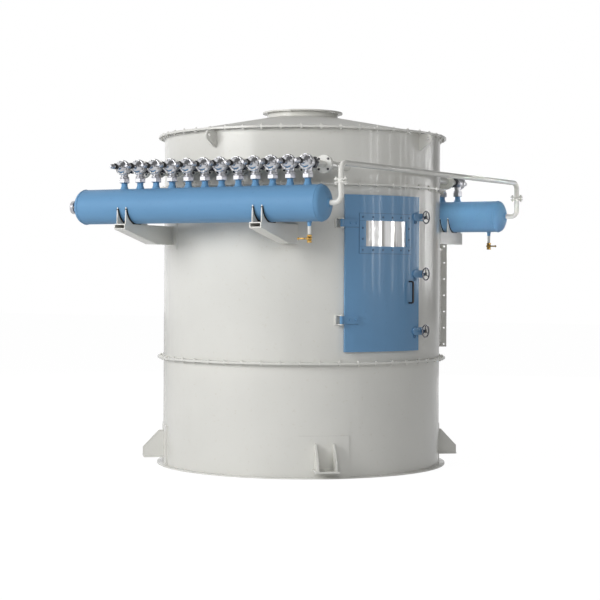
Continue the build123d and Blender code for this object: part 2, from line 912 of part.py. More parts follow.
# Clamps along the door's free edge: an arm, and a spindle with its handwheel
with BuildPart() as clamp_arms:
    for height in clamp_heights:
        arm_radii = (door_outer, door_outer + clamp_bar)
        arm_heights = (height - clamp_width / 2, height + clamp_width / 2)
        add(arc_block(arm_radii, (clamp_root, clamp_angle + clamp_nose), arm_heights))
        with BuildSketch(facing_plane(door_outer - clamp_bar, clamp_angle, height)):
            Circle(spindle_radius + spindle_play)
        extrude(amount=3 * clamp_bar, mode=Mode.SUBTRACT)
save(clamp_arms.part, "clamp_arms")

# Catches on the wall: each is a forked bracket that takes the foot of a clamp's spindle
pad_thickness, pad_width, pad_height = catch_pad
with BuildPart() as clamp_catches:
    catch_plane = Plane(origin=(0, 0, 0), x_dir=polar(1, clamp_angle), z_dir=(0, 0, 1))
    half = degrees(pad_width / 2 / casing_radius)
    for height in clamp_heights:
        add(
            arc_block(
                (casing_radius, casing_radius + pad_thickness),
                (clamp_angle - half, clamp_angle + half),
                (height - pad_height / 2, height + pad_height / 2),
            )
        )
        for wall in (-1, 1):
            fork_middle = height + wall * (catch_gap + catch_plate / 2)
            with BuildSketch(catch_plane.offset(fork_middle)):
                with Locations((catch_nose_centre, 0)):
                    Circle(catch_nose_radius)
                with Locations((casing_radius + pad_thickness, 0)):
                    Rectangle(pad_thickness, catch_root_width)
                make_hull()
            extrude(amount=catch_plate / 2, both=True)
save(clamp_catches.part, "clamp_catches")


def handwheel(height):
    """Handwheel with three spokes on a spindle that points at the casing's axis."""
    with BuildPart() as wheel:
        with BuildSketch(facing_plane(spindle_foot, clamp_angle, height)):
            Circle(spindle_radius)
        extrude(amount=wheel_plane - spindle_foot)
        wheel_face = facing_plane(wheel_plane - wheel_rim / 2, clamp_angle, height)
        with BuildSketch(wheel_face):
            Circle(wheel_radius)
            Circle(wheel_radius - wheel_rim, mode=Mode.SUBTRACT)
            Circle(hub_radius)
            with PolarLocations((wheel_radius - wheel_rim / 2) / 2, 3, start_angle=90):
                Rectangle(wheel_radius - wheel_rim / 2, spoke_width)
        extrude(amount=wheel_rim)
    return wheel


for height, level in zip(clamp_heights, ("low", "middle", "high")):
    save(handwheel(height).part, f"handwheel_{level}")

# Door handle: a bar bent into a U, standing off the door
handle_x = door_outer + handle_stand
with BuildPart() as door_handle:
    with BuildLine() as handle_line:
        FilletPolyline(
            polar(door_outer, handle_angle, handle_low),
            polar(handle_x, handle_angle, handle_low),
            polar(handle_x, handle_angle, handle_high),
            polar(door_outer, handle_angle, handle_high),
            radius=handle_bend,
        )
    with BuildSketch(facing_plane(door_outer, handle_angle, handle_low)):
        Rectangle(handle_bar, handle_bar)
    sweep(path=handle_line.line)
save(door_handle.part, "door_handle")
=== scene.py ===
import math

import bmesh
import bpy
from mathutils import Matrix, Vector


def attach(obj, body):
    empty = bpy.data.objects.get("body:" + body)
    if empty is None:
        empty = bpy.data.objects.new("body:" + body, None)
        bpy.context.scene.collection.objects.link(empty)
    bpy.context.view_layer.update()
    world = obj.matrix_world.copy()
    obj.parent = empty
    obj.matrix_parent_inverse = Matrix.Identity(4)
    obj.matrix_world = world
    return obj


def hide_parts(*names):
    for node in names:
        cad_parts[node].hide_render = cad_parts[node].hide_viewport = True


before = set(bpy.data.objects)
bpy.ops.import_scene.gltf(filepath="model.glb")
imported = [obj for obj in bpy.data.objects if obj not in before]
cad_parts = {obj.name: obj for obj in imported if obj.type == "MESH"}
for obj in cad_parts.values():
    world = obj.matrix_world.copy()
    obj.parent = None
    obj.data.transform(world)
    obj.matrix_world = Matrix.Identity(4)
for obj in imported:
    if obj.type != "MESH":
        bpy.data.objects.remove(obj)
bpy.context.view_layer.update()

# Sizes in metres, as the CAD model has them. Angles round the casing are in
# degrees from +X, counted towards +Y.
CASING_RADIUS = 1.150
RIM_HEIGHTS = (0.880, 2.260, 2.696)
RIM_HALF = 0.008
RIM_BOLT_CIRCLE = 1.176
RIM_BOLT_COUNT = 48
RIM_BOLT_START = 5

# The front tank is on side -1 (towards -Y) and the rear tank on side 1.
TANK_SIDES = {-1: "front", 1: "rear"}
TANK_RADIUS = 0.1365
TANK_OFFSET = 1.437
TANK_HEIGHT = 2.087
TANK_ENDS = {-1: (-1.240, 0.990), 1: (-0.965, 1.265)}
HEAD_DEPTH = 0.068
CAP_FACE = 0.030
CAP_RADIUS = 0.053
VALVE_COUNT = 12
VALVE_PITCH = 0.1473
VALVE_HEIGHT = 2.390
STUB_RADIUS = 0.0245
STUB_TOP = 2.270

# Each pulse valve, along its own axis from the middle of its bowl, and its blow pipe
COVER_FACE = 0.043
COVER_BOLT_CIRCLE = 0.051
COVER_BOLT_COUNT = 8
COIL_ROOT = 0.105
COIL_END = 0.149
COIL_RIB_COUNT = 4
COIL_RIB_PITCH = 0.009
OUTLET_NUT_END = 0.100
OUTLET_NUT_LUGS = 6
BLOW_FLANGE_OFFSET = 1.189
BLOW_FLANGE_RADIUS = 0.070
BLOW_FLANGE_THICKNESS = 0.012
BLOW_FLANGE_GAP = 0.004
BLOW_BOLT_CIRCLE = 0.055
BLOW_BOLT_COUNT = 4
NOZZLE_START = 0.62

BRACKET_PLACES = {-1: (-0.737, 0.465), 1: (0.737, -0.465)}
SADDLE_GAP = 0.078
LINER_ANGLES = (190, 350)

PIPE_RADIUS = 0.021
RISER_PLACES = {-1: 1.082, 1: 1.368}
UNION_FACES = (2.229, 2.259)
UNION_BOLT_REACH = 0.038
DRAIN_PLACES = {-1: 0.825, 1: 1.110}
DRAIN_LOW = 1.795
DRAIN_HIGH = 1.855
DRAIN_HEXAGON = 0.040
LEVER_STAND = 0.030
LEVER_REACH = {-1: -0.075, 1: 0.075}

DOOR_OUTER = 1.188
# Width of the painted shadow lines round the window frame
PAINTED_SHADOW_WIDTH = 0.0035
WINDOW_ANGLES = (-37.6, -18.6)
WINDOW_HEIGHTS = (1.783, 1.981)
WINDOW_STRIP = 0.055
STRIP_FACE = 1.193
PIN_ANGLE = -47.3
HINGE_HEIGHTS = (1.216, 1.960)
HINGE_HALF = 0.039
STRAP_END = -40.6
STRAP_FACE = 1.200
STRAP_HALF = 0.030
STRAP_BOLT_STEPS = (0.9, 3.2)
CLAMP_ANGLE = -9.2
CLAMP_ROOT = -14.9
CLAMP_HEIGHTS = {"low": 1.121, "middle": 1.572, "high": 2.020}
CLAMP_FACE = 1.198
CLAMP_WIDTH = 0.060
CLAMP_CORNER = 0.012
CLAMP_RING_RADIUS = 0.012
WHEEL_PLANE = 1.232
WHEEL_RADIUS = 0.0475
WHEEL_SPOKES = 3
SPINDLE_START = 1.166

UP = Vector((0, 0, 1))
FRONT = Vector((0, -1, 0))


def polar(radius, angle, z=0.0):
    """Point at a radius and an angle round the casing."""
    a = math.radians(angle)
    return Vector((radius * math.cos(a), radius * math.sin(a), z))


def facing(origin, axis):
    """Matrix that puts a shape's own z axis along a direction, at a place."""
    turned = Vector(axis).to_track_quat("Z", "Y").to_matrix().to_4x4()
    return Matrix.Translation(origin) @ turned


def along_x(x, y, z):
    """Matrix that lays a shape's own z axis along X and its x axis along Y."""
    turned = Matrix(((0, 0, 1, 0), (1, 0, 0, 0), (0, 1, 0, 0), (0, 0, 0, 1)))
    return Matrix.Translation((x, y, z)) @ turned


def ring_points(place, radius, count=72):
    """Points evenly round a place's z axis."""
    return [place @ polar(radius, 360 * i / count) for i in range(count)]


def bolt_circle(centre, radius, count):
    """Points evenly round a centre, in the upright plane that runs along the tanks."""
    points = []
    for bolt in range(count):
        a = (bolt + 0.5) * math.tau / count
        points.append(centre + Vector((math.cos(a), 0, math.sin(a))) * radius)
    return points


def maths(nodes, operation, *values):
    """Math node with its inputs' values, None where an input is linked."""
    node = nodes.new("ShaderNodeMath")
    node.operation = operation
    for socket, value in zip(node.inputs, values):
        if value is not None:
            socket.default_value = value
    return node


# Materials

class Finish:
    """A material with its shader, its Object coordinates, and short ways to add nodes."""

    def __init__(self, name, roughness, metallic=0.0, **sockets):
        self.material = bpy.data.materials.new(name)
        self.material.use_nodes = True
        self.tree = self.material.node_tree
        self.shader = self.tree.nodes["Principled BSDF"]
        self.shader.inputs["Roughness"].default_value = roughness
        self.shader.inputs["Metallic"].default_value = metallic
        for socket, value in sockets.items():
            self.shader.inputs[socket.replace("_", " ")].default_value = value
        self.place = self.tree.nodes.new("ShaderNodeTexCoord").outputs["Object"]
        self.bump_normal = None

    def noise(self, scale, stretch=(1, 1, 1), detail=3.0):
        """Noise with features of about one metre over scale, stretched by axis."""
        mapping = self.tree.nodes.new("ShaderNodeMapping")
        mapping.inputs["Scale"].default_value = stretch
        texture = self.tree.nodes.new("ShaderNodeTexNoise")
        texture.inputs["Scale"].default_value = scale
        texture.inputs["Detail"].default_value = detail
        self.tree.links.new(self.place, mapping.inputs["Vector"])
        self.tree.links.new(mapping.outputs["Vector"], texture.inputs["Vector"])
        return texture.outputs["Fac"]

    def ramp(self, fac, stops):
        """Colour ramp over a grey value: stops are pairs of position and colour."""
        node = self.tree.nodes.new("ShaderNodeValToRGB")
        while len(node.color_ramp.elements) < len(stops):
            node.color_ramp.elements.new(0.5)
        for element, (position, colour) in zip(node.color_ramp.elements, stops):
            element.position = position
            element.color = (*colour, 1.0)
        self.tree.links.new(fac, node.inputs["Fac"])
        return node.outputs["Color"]

    def mix(self, fac, first, second):
        """Mix of two colours, each a colour or the output of a node."""
        node = self.tree.nodes.new("ShaderNodeMix")
        node.data_type = "RGBA"
        for index, source in ((0, fac), (6, first), (7, second)):
            if isinstance(source, bpy.types.NodeSocket):
                self.tree.links.new(source, node.inputs[index])
            elif index:
                node.inputs[index].default_value = (*source, 1.0)
            else:
                node.inputs[index].default_value = source
        return node.outputs[2]

    def spread(self, fac, low, high):
        """Grey value between two limits, for roughness."""
        node = self.tree.nodes.new("ShaderNodeMapRange")
        node.inputs["From Min"].default_value = 0.3
        node.inputs["From Max"].default_value = 0.7
        node.inputs["To Min"].default_value = low
        node.inputs["To Max"].default_value = high
        self.tree.links.new(fac, node.inputs["Value"])
        return node.outputs["Result"]

    def bump(self, height, distance, strength=1.0):
        """Adds a layer of relief in metres over the layers before it."""
        node = self.tree.nodes.new("ShaderNodeBump")
        node.inputs["Distance"].default_value = distance
        node.inputs["Strength"].default_value = strength
        self.tree.links.new(height, node.inputs["Height"])
        if self.bump_normal is not None:
            self.tree.links.new(self.bump_normal, node.inputs["Normal"])
        self.bump_normal = node.outputs["Normal"]
        self.tree.links.new(self.bump_normal, self.shader.inputs["Normal"])

    def colour(self, source):
        self.tree.links.new(source, self.shader.inputs["Base Color"])

    def roughness(self, source):
        self.tree.links.new(source, self.shader.inputs["Roughness"])


def shade(colour, factor):
    return tuple(min(1.0, c * factor) for c in colour)


def enamel(name, colour, dirt, waves=0.0, gloss=(0.16, 0.26), coat=0.35, sheen=0.5):
    """Sprayed gloss enamel on plate: slight clouds, orange peel, and upright waves where plate is rolled."""
    finish = Finish(name, 0.2, Coat_Weight=coat, Coat_Roughness=0.06, Specular_IOR_Level=sheen)
    clouds = finish.noise(1.6, detail=4.0)
    tone = finish.ramp(clouds, ((0.3, shade(colour, 0.965)), (0.7, shade(colour, 1.02))))
    specks = finish.ramp(finish.noise(38, detail=6.0), ((0.62, (0, 0, 0)), (0.78, (0.35,) * 3)))
    finish.colour(finish.mix(specks, tone, dirt))
    finish.roughness(finish.spread(finish.noise(9), *gloss))
    if waves:
        finish.bump(finish.noise(7.0, stretch=(1, 1, 0.16), detail=1.5), waves)
    finish.bump(finish.noise(420, detail=1.0), 0.00012, 0.5)
    return finish.material


def bright_metal(name, colour, dull, gloss, grain=0.0):
    """Bare or plated metal with duller patches, and a fine grain where it is cast or zinc plated."""
    finish = Finish(name, gloss[0], metallic=1.0)
    finish.colour(finish.ramp(finish.noise(30, detail=5.0), ((0.35, dull), (0.6, colour))))
    finish.roughness(finish.spread(finish.noise(60), *gloss))
    if grain:
        finish.bump(finish.noise(900, detail=2.0), grain, 0.6)
    return finish.material


def plain_finish(name, colour, worn, gloss, grain):
    """Plastic or rubber: fine grain with paler scuffs."""
    finish = Finish(name, gloss[0])
    scuffs = finish.ramp(finish.noise(25, detail=6.0), ((0.55, (0, 0, 0)), (0.8, (0.6,) * 3)))
    finish.colour(finish.mix(scuffs, colour, worn))
    finish.roughness(finish.spread(finish.noise(45), *gloss))
    finish.bump(finish.noise(500, detail=2.0), grain, 0.6)
    return finish.material


CREAM = (0.745, 0.740, 0.700)
CREAM_DIRT = (0.60, 0.56, 0.46)
TANK_BLUE = (0.148, 0.325, 0.545)
DOOR_BLUE = (0.137, 0.312, 0.535)
BLUE_DIRT = (0.11, 0.24, 0.42)
# Dark blue of the clamp rings and window screws, also used for the painted shadow lines on the door
DARK_BLUE_AND_PAINTED_SHADOW = (0.07, 0.155, 0.27)

cream_enamel = enamel("cream_enamel", CREAM, CREAM_DIRT, waves=0.003)
roof_enamel = enamel("cream_roof_enamel", CREAM, CREAM_DIRT, waves=0.003,
                     gloss=(0.45, 0.55), coat=0.0, sheen=0.25)
fitting_enamel = enamel("cream_fitting_enamel", shade(CREAM, 1.02), CREAM_DIRT)
tank_enamel = enamel("blue_tank_enamel", TANK_BLUE, BLUE_DIRT, gloss=(0.4, 0.5), coat=0.0, sheen=0.3)
door_enamel = enamel("blue_door_enamel", DOOR_BLUE, BLUE_DIRT, waves=0.004, coat=0.3, sheen=0.35)
# Dark blue paint, and the painted shadow lines round the window frame and under the hinge straps
dark_blue_and_painted_shadow = enamel("dark_blue_paint_and_painted_shadow", DARK_BLUE_AND_PAINTED_SHADOW, DARK_BLUE_AND_PAINTED_SHADOW, gloss=(0.4, 0.5), coat=0.0)
chrome = bright_metal("polished_chrome", (0.70, 0.71, 0.74), (0.58, 0.58, 0.61), (0.08, 0.16))
wheel_chrome = bright_metal("handwheel_chrome", (0.24, 0.24, 0.26), (0.15, 0.15, 0.17), (0.08, 0.15))
cast_alloy = bright_metal("bright_cast_alloy", (0.66, 0.66, 0.69), (0.54, 0.54, 0.57), (0.28, 0.38), 0.00005)
zinc_steel = bright_metal("zinc_plated_steel", (0.66, 0.66, 0.66), (0.45, 0.44, 0.42), (0.25, 0.4), 0.0001)
dark_steel = bright_metal("dark_nut_steel", (0.16, 0.16, 0.17), (0.07, 0.07, 0.08), (0.3, 0.45), 0.0002)
brass = bright_metal("drain_brass", (0.56, 0.36, 0.11), (0.36, 0.21, 0.06), (0.18, 0.32), 0.0001)
coil_plastic = plain_finish("black_coil_plastic", (0.012, 0.012, 0.013), (0.05,) * 3, (0.3, 0.42), 0.0001)
black_grip = plain_finish("black_handle_plastic", (0.014, 0.014, 0.015), (0.06,) * 3, (0.28, 0.4), 0.0001)
rubber = plain_finish("black_rubber", (0.022,) * 3, (0.07,) * 3, (0.6, 0.75), 0.0002)


def window_glass():
    """Safety glass with painted reflections: bright and grey upright streaks in its colour for the light
    mirrored in the film on it, and slight upright waves that bend reflections.
    """
    finish = Finish("window_glass_painted_reflections", 0.05, metallic=0.55, Coat_Weight=0.6, Coat_Roughness=0.02, IOR=1.5)
    # Painted reflections: bright and grey upright streaks put into the glass's colour
    painted_reflection_streaks = finish.noise(13, stretch=(1, 1, 0.04), detail=2.5)
    finish.colour(finish.ramp(painted_reflection_streaks, ((0.36, (0.30, 0.29, 0.28)), (0.44, (0.86, 0.85, 0.84)),
                                     (0.55, (0.97,) * 3), (0.62, (0.45, 0.44, 0.42)))))
    finish.roughness(finish.spread(finish.noise(20), 0.04, 0.12))
    finish.bump(finish.noise(9, stretch=(1, 1, 0.1), detail=1.5), 0.003)
    return finish.material


glass_with_painted_streaks = window_glass()


# Shapes

def smooth_by_angle(mesh, angle=35):
    """Smooth faces that meet gently and keep the hard edges sharp."""
    limit = math.radians(angle)
    bm = bmesh.new()
    bm.from_mesh(mesh)
    for face in bm.faces:
        face.smooth = True
    for edge in bm.edges:
        edge.smooth = edge.is_manifold and edge.calc_face_angle(0.0) < limit
    bm.to_mesh(mesh)
    bm.free()


def piece(name, bm, material, body="casing", replaces=()):
    """Makes a finished piece of the object from a bmesh, and rides it on its body."""
    bmesh.ops.remove_doubles(bm, verts=bm.verts, dist=1e-6)
    bmesh.ops.recalc_face_normals(bm, faces=bm.faces)
    mesh = bpy.data.meshes.new(name)
    bm.to_mesh(mesh)
    bm.free()
    piece_from_mesh(name, mesh, material, body, replaces)


def piece_from_mesh(name, mesh, material, body="casing", replaces=()):
    """Makes a finished piece from a mesh that already has its place, and rides it on its body."""
    smooth_by_angle(mesh)
    obj = bpy.data.objects.new(name, mesh)
    bpy.context.scene.collection.objects.link(obj)
    mesh.materials.clear()
    mesh.materials.append(material)
    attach(obj, body)
    if replaces:
        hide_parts(*replaces)


def lathe(bm, profile, place, sides=32):
    """Closed turned shape: the profile is pairs of radius and height along the place's z axis."""
    rows = []
    for radius, height in profile:
        if radius < 1e-7:
            rows.append([bm.verts.new(place @ Vector((0, 0, height)))])
            continue
        row = []
        for side in range(sides):
            a = side * math.tau / sides
            row.append(bm.verts.new(place @ Vector((radius * math.cos(a), radius * math.sin(a), height))))
        rows.append(row)
    for lower, upper in zip(rows, rows[1:]):
        for side in range(sides):
            after = (side + 1) % sides
            corners = [lower[side % len(lower)], lower[after % len(lower)]]
            corners += [upper[after % len(upper)], upper[side % len(upper)]]
            unique = list(dict.fromkeys(corners))
            if len(unique) > 2:
                bm.faces.new(unique)
    for row, back in ((rows[0], True), (rows[-1], False)):
        if len(row) > 1:
            bm.faces.new(row[::-1] if back else row)


def hexagon(bm, across_corners, low, high, place, chamfer=0.12):
    """Hexagon nut or bolt head with chamfered ends."""
    r = across_corners / 2
    cut = r * chamfer
    profile = ((0, low), (r - cut, low), (r, low + cut), (r, high - cut), (r - cut, high), (0, high))
    lathe(bm, profile, place, sides=6)


def block(bm, size, place, edge=0.0, steps=2):
    """Box with rounded edges, centred at the place."""
    made = bmesh.ops.create_cube(bm, size=1.0)["verts"]
    for vert in made:
        vert.co = place @ Vector((vert.co.x * size[0], vert.co.y * size[1], vert.co.z * size[2]))
    if edge:
        edges = list({e for v in made for e in v.link_edges})
        bmesh.ops.bevel(bm, geom=edges, offset=edge, segments=steps, profile=0.5, affect="EDGES")


def tube(bm, points, radius, sides=16, closed=False):
    """Round bar or pipe along a line of points; radius is one number or one for each point."""
    points = [Vector(p) for p in points]
    radii = radius if isinstance(radius, (list, tuple)) else [radius] * len(points)
    count = len(points)
    rows = []
    side_axis = None
    for i, point in enumerate(points):
        before = points[i - 1] if (i or closed) else point
        after = points[(i + 1) % count] if (i < count - 1 or closed) else point
        along = (after - before).normalized()
        if side_axis is None:
            side_axis = along.orthogonal().normalized()
        side_axis = (side_axis - along * side_axis.dot(along)).normalized()
        other = along.cross(side_axis)
        row = []
        for side in range(sides):
            a = side * math.tau / sides
            row.append(bm.verts.new(point + (side_axis * math.cos(a) + other * math.sin(a)) * radii[i]))
        rows.append(row)
    pairs = list(zip(rows, rows[1:]))
    if closed:
        pairs.append((rows[-1], rows[0]))
    for lower, upper in pairs:
        for side in range(sides):
            after = (side + 1) % sides
            bm.faces.new((lower[side], lower[after], upper[after], upper[side]))
    if not closed:
        bm.faces.new(rows[0][::-1])
        bm.faces.new(rows[-1])


def arc_bar(bm, radii, angles, heights, place=Matrix(), step=1.5):
    """Square bar along an arc round the place's z axis, between two radii, angles and heights."""
    (inside, outside), (start, end), (low, high) = radii, angles, heights
    corners = ((inside, low), (outside, low), (outside, high), (inside, high))
    spans = max(1, round((end - start) / step))
    rows = []
    for i in range(spans + 1):
        angle = start + (end - start) * i / spans
        rows.append([bm.verts.new(place @ polar(r, angle, z)) for r, z in corners])
    for row, after in zip(rows, rows[1:]):
        for i in range(4):
            bm.faces.new((row[i], after[i], after[(i + 1) % 4], row[(i + 1) % 4]))
    bm.faces.new(rows[0][::-1])
    bm.faces.new(rows[-1])


def curved_plate(bm, outline, radii, rounding=0.0012):
    """Small plate on the casing's curve: the outline is pairs of angle and height."""
    inner, outer = ([bm.verts.new(polar(r, angle, z)) for angle, z in outline] for r in radii)
    faces = [bm.faces.new(inner[::-1]), bm.faces.new(outer)]
    for i in range(len(outline)):
        j = (i + 1) % len(outline)
        faces.append(bm.faces.new((inner[i], inner[j], outer[j], outer[i])))
    rim = list(faces[1].edges)
    bmesh.ops.bevel(bm, geom=rim, offset=rounding, segments=2, profile=0.5, affect="EDGES")


def bead(bm, points, width):
    """Weld bead along a closed line of points, with the slight ripple of a hand weld."""
    radii = [width / 2 * (1 + 0.1 * math.sin(2.1 * i)) for i in range(len(points))]
    tube(bm, points, radii, 8, closed=True)


# Node trees for what repeats

def new_tree(name, inputs):
    """Geometry Nodes tree with a geometry input and output, and named inputs with their defaults."""
    tree = bpy.data.node_groups.new(name, "GeometryNodeTree")
    tree.interface.new_socket("Geometry", in_out="INPUT", socket_type="NodeSocketGeometry")
    for label, kind, value in inputs:
        socket = tree.interface.new_socket(label, in_out="INPUT", socket_type="NodeSocket" + kind)
        if value is not None:
            socket.default_value = value
    tree.interface.new_socket("Geometry", in_out="OUTPUT", socket_type="NodeSocketGeometry")
    entry, leave = tree.nodes.new("NodeGroupInput"), tree.nodes.new("NodeGroupOutput")
    return tree, entry, leave


def grow(name, mesh, tree, values):
    """Runs a tree on a mesh and gives back the plain mesh that it makes."""
    holder = bpy.data.objects.new(name, mesh)
    bpy.context.scene.collection.objects.link(holder)
    modifier = holder.modifiers.new("grow", "NODES")
    modifier.node_group = tree
    sockets = {item.name: item.identifier for item in tree.interface.items_tree if item.in_out == "INPUT"}
    for label, value in values.items():
        modifier[sockets[label]] = value
    grown = bpy.data.meshes.new_from_object(holder.evaluated_get(bpy.context.evaluated_depsgraph_get()))
    holder.modifiers.clear()
    bpy.data.objects.remove(holder)
    grown.name = name
    return grown


def row_tree():
    """Copies of one shape in a row along X, centred on the origin."""
    tree, entry, leave = new_tree("shapes_in_a_row", (
        ("Count", "Int", 2), ("Pitch", "Float", 0.1), ("Finish", "Material", None)))
    nodes, link = tree.nodes, tree.links.new
    gaps = maths(nodes, "SUBTRACT", None, 1.0)
    length = maths(nodes, "MULTIPLY")
    start = maths(nodes, "MULTIPLY", None, -0.5)
    step, first = nodes.new("ShaderNodeCombineXYZ"), nodes.new("ShaderNodeCombineXYZ")
    line = nodes.new("GeometryNodeMeshLine")
    copies = nodes.new("GeometryNodeInstanceOnPoints")
    real, paint = nodes.new("GeometryNodeRealizeInstances"), nodes.new("GeometryNodeSetMaterial")
    link(entry.outputs["Count"], gaps.inputs[0])
    link(gaps.outputs[0], length.inputs[0])
    link(entry.outputs["Pitch"], length.inputs[1])
    link(length.outputs[0], start.inputs[0])
    link(start.outputs[0], first.inputs["X"])
    link(entry.outputs["Pitch"], step.inputs["X"])
    link(entry.outputs["Count"], line.inputs["Count"])
    link(first.outputs[0], line.inputs["Start Location"])
    link(step.outputs[0], line.inputs["Offset"])
    link(line.outputs["Mesh"], copies.inputs["Points"])
    link(entry.outputs["Geometry"], copies.inputs["Instance"])
    link(copies.outputs[0], real.inputs[0])
    link(real.outputs[0], paint.inputs["Geometry"])
    link(entry.outputs["Finish"], paint.inputs["Material"])
    link(paint.outputs[0], leave.inputs[0])
    return tree


def fastener_tree():
    """A washer, a head and a bolt end on each point, standing along the point's own direction."""
    tree, entry, leave = new_tree("fasteners_on_points", (
        ("Head Width", "Float", 0.022), ("Head Height", "Float", 0.009), ("Head Sides", "Int", 6),
        ("Washer Width", "Float", 0.03), ("Washer Height", "Float", 0.003),
        ("Thread Width", "Float", 0.012), ("Thread Length", "Float", 0.004),
        ("Finish", "Material", None)))
    nodes, link = tree.nodes, tree.links.new
    join = nodes.new("GeometryNodeJoinGeometry")
    level = None
    for width, height, sides in (("Washer Width", "Washer Height", 14), ("Head Width", "Head Height", None),
                                 ("Thread Width", "Thread Length", 8)):
        radius = maths(nodes, "MULTIPLY", None, 0.5)
        lift = maths(nodes, "MULTIPLY_ADD", None, 0.5, 0.0)
        top = maths(nodes, "ADD", None, 0.0)
        disc, move = nodes.new("GeometryNodeMeshCylinder"), nodes.new("GeometryNodeTransform")
        offset = nodes.new("ShaderNodeCombineXYZ")
        link(entry.outputs[width], radius.inputs[0])
        link(radius.outputs[0], disc.inputs["Radius"])
        link(entry.outputs[height], disc.inputs["Depth"])
        link(entry.outputs[height], lift.inputs[0])
        if sides:
            disc.inputs["Vertices"].default_value = sides
        else:
            link(entry.outputs["Head Sides"], disc.inputs["Vertices"])
        link(entry.outputs[height], top.inputs[0])
        if level is not None:
            link(level, top.inputs[1])
            link(level, lift.inputs[2])
        level = top.outputs[0]
        link(lift.outputs[0], offset.inputs["Z"])
        link(disc.outputs["Mesh"], move.inputs["Geometry"])
        link(offset.outputs[0], move.inputs["Translation"])
        link(move.outputs[0], join.inputs[0])
    direction = nodes.new("GeometryNodeInputNamedAttribute")
    direction.data_type = "FLOAT_VECTOR"
    direction.inputs["Name"].default_value = "direction"
    align = nodes.new("FunctionNodeAlignEulerToVector")
    align.axis = "Z"
    copies = nodes.new("GeometryNodeInstanceOnPoints")
    real, paint = nodes.new("GeometryNodeRealizeInstances"), nodes.new("GeometryNodeSetMaterial")
    link(direction.outputs["Attribute"], align.inputs["Vector"])
    link(entry.outputs["Geometry"], copies.inputs["Points"])
    link(join.outputs[0], copies.inputs["Instance"])
    link(align.outputs[0], copies.inputs["Rotation"])
    link(copies.outputs[0], real.inputs[0])
    link(real.outputs[0], paint.inputs["Geometry"])
    link(entry.outputs["Finish"], paint.inputs["Material"])
    link(paint.outputs[0], leave.inputs[0])
    return tree


ROW = row_tree()
FASTENERS = fastener_tree()


def fasteners(name, places, material, slot, body="casing", **sizes):
    """Bolts, nuts or screws as one piece: places are pairs of a point and a direction."""
    mesh = bpy.data.meshes.new(name + "_points")
    mesh.from_pydata([tuple(point) for point, _ in places], [], [])
    aim = mesh.attributes.new("direction", "FLOAT_VECTOR", "POINT")
    for item, (_, direction) in zip(aim.data, places):
        item.vector = Vector(direction).normalized()
    values = {label.replace("_", " "): value for label, value in sizes.items()}
    grown = grow(name, mesh, FASTENERS, {**values, "Finish": material})
    piece_from_mesh(name, grown, material, body)


def row_of(name, bm, material, side, replaces):
    """One copy for each valve of the front tank (side -1), or turned round for the rear tank (side 1)."""
    bmesh.ops.recalc_face_normals(bm, faces=bm.faces)
    mesh = bpy.data.meshes.new(name + "_one")
    bm.to_mesh(mesh)
    bm.free()
    grown = grow(name, mesh, ROW, {"Count": VALVE_COUNT, "Pitch": VALVE_PITCH, "Finish": material})
    if side > 0:
        grown.transform(Matrix.Rotation(math.pi, 4, "Z"))
    piece_from_mesh(name, grown, material, "casing", (replaces,))


# The CAD nodes' own finishes

NODE_FINISH = {
    roof_enamel: ("cone_roof",),
    tank_enamel: ("front_air_tank", "rear_air_tank"),
    door_enamel: ("door_panel", "window_frame", "hinge_straps", "clamp_arms"),
    glass_with_painted_streaks: ("window_pane",),
    rubber: ("saddle_liners", "door_gasket"),
    brass: ("drain_valves", "front_drain_lever", "rear_drain_lever"),
    black_grip: ("door_handle",),
    wheel_chrome: ("handwheel_low", "handwheel_middle", "handwheel_high"),
    cast_alloy: ("front_pulse_valves", "rear_pulse_valves", "tank_end_caps"),
    fitting_enamel: ("air_header_pipe", "front_riser_pipe", "rear_riser_pipe", "support_feet",
                     "lifting_lugs", "front_tank_brackets", "rear_tank_brackets", "hinge_ears",
                     "clamp_catches"),
}
finish_of = {node: finish for finish, nodes in NODE_FINISH.items() for node in nodes}
for node_name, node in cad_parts.items():
    finish = finish_of.get(node_name, cream_enamel)
    node.data.materials.clear()
    node.data.materials.append(finish)

# Pulse valves, twelve on each tank

valve_place = facing((0, -TANK_OFFSET, VALVE_HEIGHT), FRONT)
stub_place = Matrix.Translation((0, -TANK_OFFSET, 0))


def valve_body():
    """Stub nut, neck, bowl with the flange that the cover is bolted to, and the bright tip on the coil."""
    bm = bmesh.new()
    hexagon(bm, 0.086, STUB_TOP - 0.002, STUB_TOP + 0.036, stub_place)
    neck = ((0, 0.034), (0.036, 0.034), (0.036, 0.046), (0.029, 0.050), (0.028, 0.062), (0.033, 0.085),
            (0, 0.100))
    lathe(bm, [(radius, STUB_TOP + rise) for radius, rise in neck], stub_place, 24)
    bowl = ((0, -0.062), (0.031, -0.062), (0.033, -0.058), (0.033, -0.044), (0.040, -0.036), (0.047, -0.018),
            (0.048, 0.0), (0.044, 0.010), (0.050, 0.014), (0.058, 0.016), (0.059, 0.019), (0.059, 0.026),
            (0.057, 0.028), (0, 0.028))
    lathe(bm, bowl, valve_place, 32)
    tip = ((0, 0.148), (0.0170, 0.148), (0.0190, 0.150), (0.0190, 0.173), (0.0170, 0.178), (0.0120, 0.181),
           (0.0120, 0.192), (0.0100, 0.1949), (0, 0.1949))
    lathe(bm, tip, valve_place, 24)
    return bm


def valve_cover():
    """Domed cover with a raised middle and the pilot's base."""
    bm = bmesh.new()
    cover = ((0, 0.0285), (0.057, 0.0285), (0.059, 0.031), (0.059, 0.040), (0.056, COVER_FACE),
             (0.047, 0.044), (0.043, 0.047), (0.038, 0.056), (0.030, 0.062), (0.022, 0.065),
             (0.0175, 0.070), (0.0165, 0.084), (0.0140, 0.088), (0.0140, 0.104), (0.0165, 0.107), (0, 0.107))
    lathe(bm, cover, valve_place, 32)
    return bm


